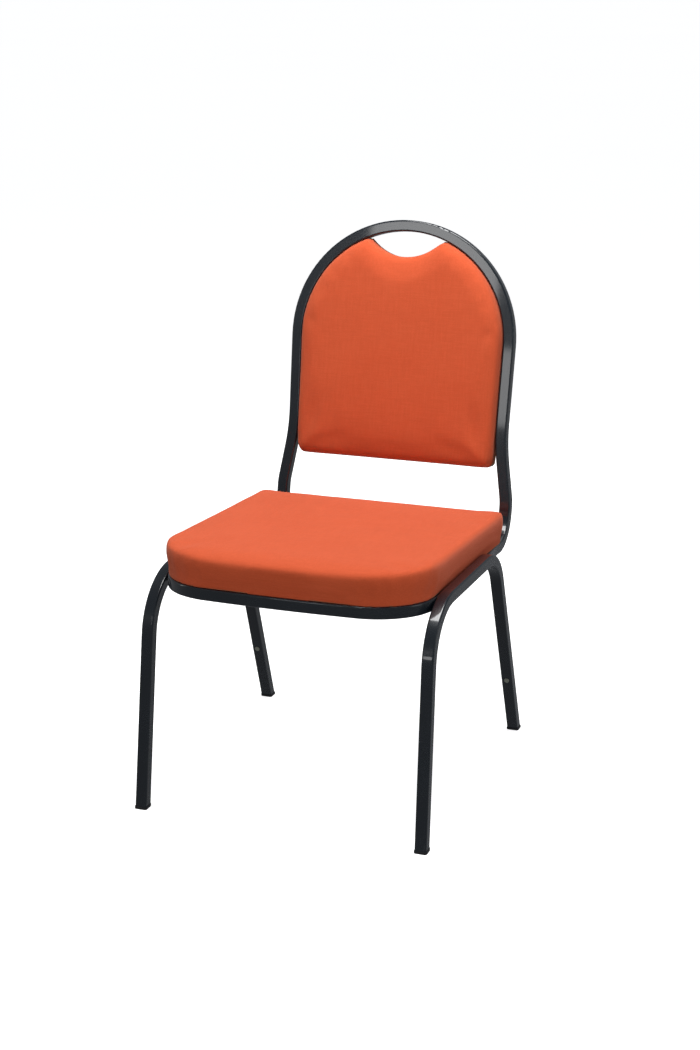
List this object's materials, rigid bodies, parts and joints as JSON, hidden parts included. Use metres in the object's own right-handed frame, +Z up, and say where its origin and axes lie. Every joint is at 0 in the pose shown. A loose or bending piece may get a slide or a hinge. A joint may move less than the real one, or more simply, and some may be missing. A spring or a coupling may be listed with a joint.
{
  "type": "stacking chair",
  "caption": "Armless stacking chair with a square-tube steel frame, a round-topped upholstered back with a hand-hold notch, and a thick upholstered seat.",
  "frame": {"origin": "middle of the chair's footprint box, on the floor", "axes": "+Z up, -Y the way the sitter faces, +X to the sitter's left"},
  "size_m": [0.508, 0.6649, 0.9037],
  "materials": {
    "painted_frame": "gloss blue-black stove enamel on square steel tube",
    "orange_fabric": "plain woven orange upholstery cloth",
    "foam": "cream polyurethane foam, hidden",
    "plywood": "birch plywood, hidden",
    "dust_cloth": "black non-woven dust cloth",
    "glide_plastic": "black nylon glide",
    "bumper_plastic": "light olive-grey soft plastic",
    "zinc_steel": "zinc-plated steel",
    "clip_plastic": "natural nylon clip"
  },
  "bodies": {
    "root": {"back_hoop_tube": "painted_frame", "seat_ring_tube": "painted_frame", "left_leg_tube": "painted_frame", "right_leg_tube": "painted_frame", "leg_weld_beads": "painted_frame", "back_fixing_tabs": "painted_frame", "front_cross_bar": "painted_frame", "rear_cross_bar": "painted_frame", "left_front_glide": "glide_plastic", "right_front_glide": "glide_plastic", "left_rear_glide": "glide_plastic", "right_rear_glide": "glide_plastic", "left_stacking_bumper": "bumper_plastic", "right_stacking_bumper": "bumper_plastic", "seat_board": "plywood", "back_board": "plywood", "back_rear_panel": "plywood", "seat_foam": "foam", "back_foam": "foam", "seat_cover": "orange_fabric", "back_cover": "orange_fabric", "back_rear_cover": "orange_fabric", "seat_dust_cover": "dust_cloth", "seat_screws": "zinc_steel", "seat_tee_nuts": "zinc_steel", "back_screws": "zinc_steel", "back_panel_clips": "clip_plastic"}
  },
  "joints": []
}
